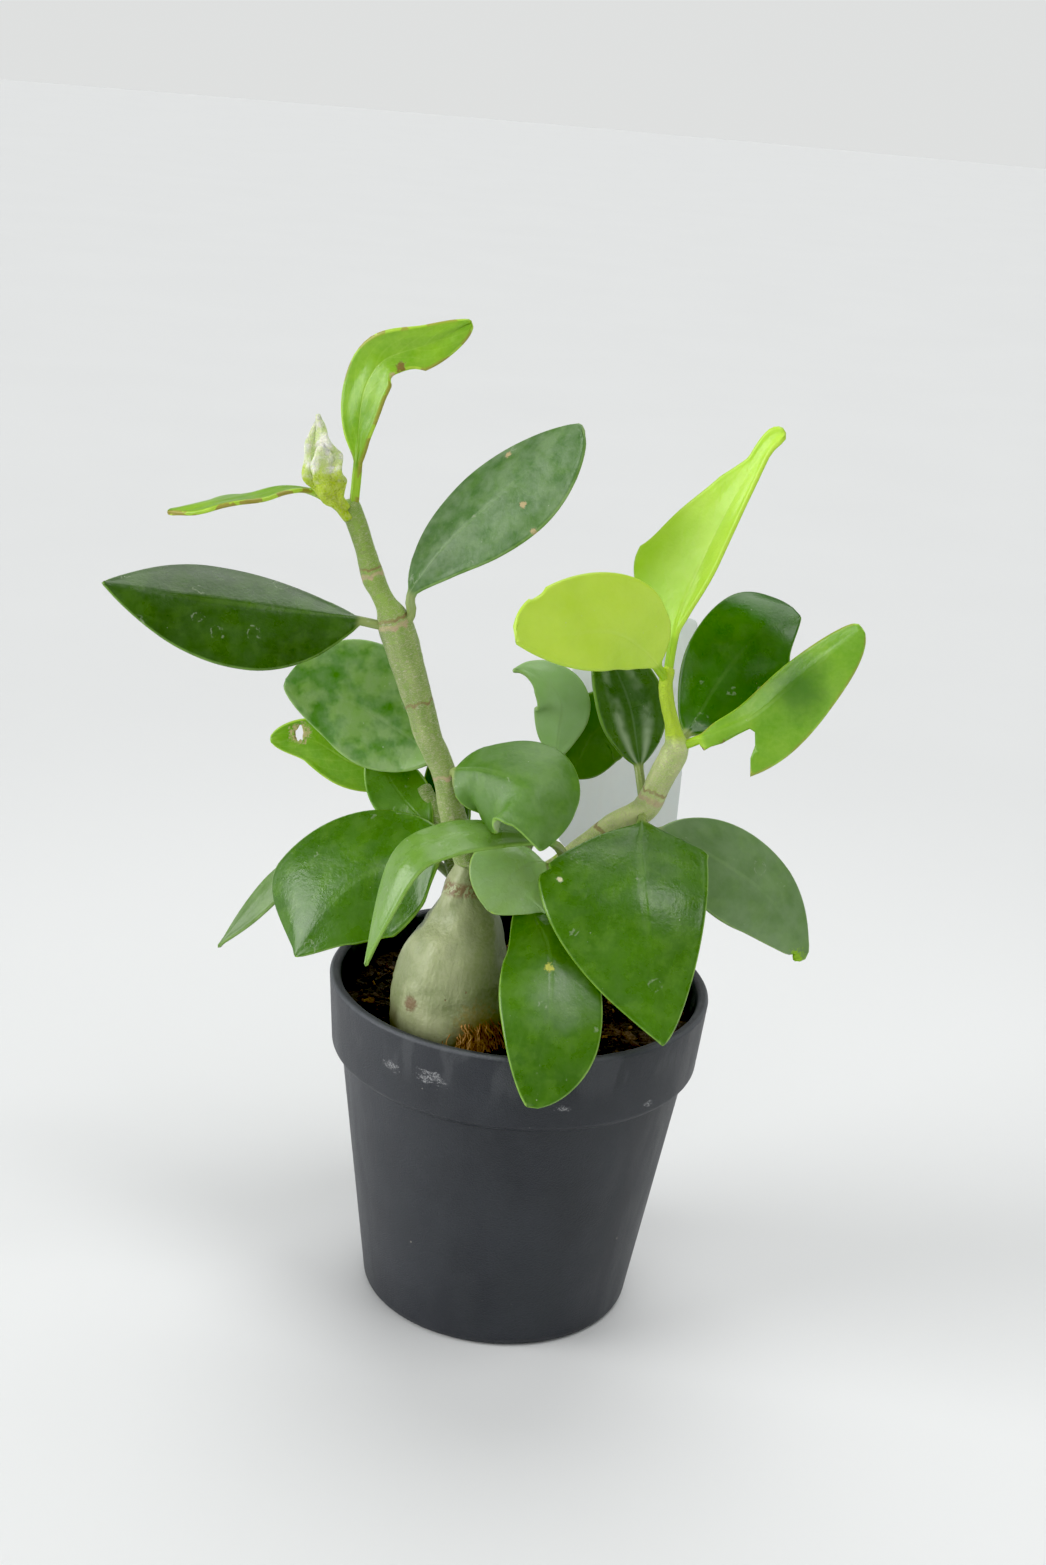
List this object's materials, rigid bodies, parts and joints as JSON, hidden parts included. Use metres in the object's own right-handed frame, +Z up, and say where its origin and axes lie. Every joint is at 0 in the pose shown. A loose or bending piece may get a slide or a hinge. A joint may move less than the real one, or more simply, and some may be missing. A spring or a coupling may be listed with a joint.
{
  "type": "potted plant",
  "caption": "Young ant plant with a swollen caudex, leaning stems and smooth oval leaves, in a round tapered nursery pot of dark soil with a blank label.",
  "frame": {"origin": "middle of the pot's flat underside", "axes": "+Z up along the pot's axis, -Y towards the front that the picture shows, +X to that front's right"},
  "size_m": [0.1671, 0.0964, 0.2345],
  "materials": {
    "pot_plastic": "matt charcoal moulded plastic, lightly scuffed",
    "soil_mix": null,
    "label_plastic": "smooth pale plastic card, blank",
    "caudex_skin": "smooth pale grey-green skin with small scars",
    "stem_skin": "pale green skin with fine dry scales",
    "leaf_young": "soft satin young leaf",
    "leaf_dark": "glossy leathery leaf",
    "leaf_grey": "satin leathery leaf with a pale bloom",
    "leaf_green": "glossy leathery leaf with a pale rim",
    "bud_pale": "soft crumpled unopened leaf"
  },
  "bodies": {
    "root": {"pot": "pot_plastic", "soil": "soil_mix", "plant_label": "label_plastic", "caudex": "caudex_skin", "stem_left": "stem_skin", "stem_right": "stem_skin", "shoot_left": "stem_skin", "shoot_right": "stem_skin", "leaf_top_right": "leaf_young", "leaf_top_left": "leaf_young", "leaf_young_up": "leaf_young", "leaf_young_front": "leaf_young", "leaf_notched": "leaf_young", "leaf_young_left": "leaf_young", "leaf_upper_left": "leaf_dark", "leaf_back_right": "leaf_dark", "leaf_mid_right": "leaf_dark", "leaf_dark_left": "leaf_dark", "leaf_back_dark": "leaf_dark", "leaf_upper_right": "leaf_grey", "leaf_behind_stem": "leaf_grey", "leaf_far_right": "leaf_grey", "leaf_front_short": "leaf_grey", "leaf_far_left": "leaf_grey", "leaf_back_curled": "leaf_grey", "leaf_front_centre": "leaf_green", "leaf_lower_left": "leaf_green", "leaf_front_right": "leaf_green", "leaf_front_curved": "leaf_green", "leaf_low_front": "leaf_green", "leaf_shoot_left": "leaf_green", "bud": "bud_pale"}
  },
  "joints": []
}
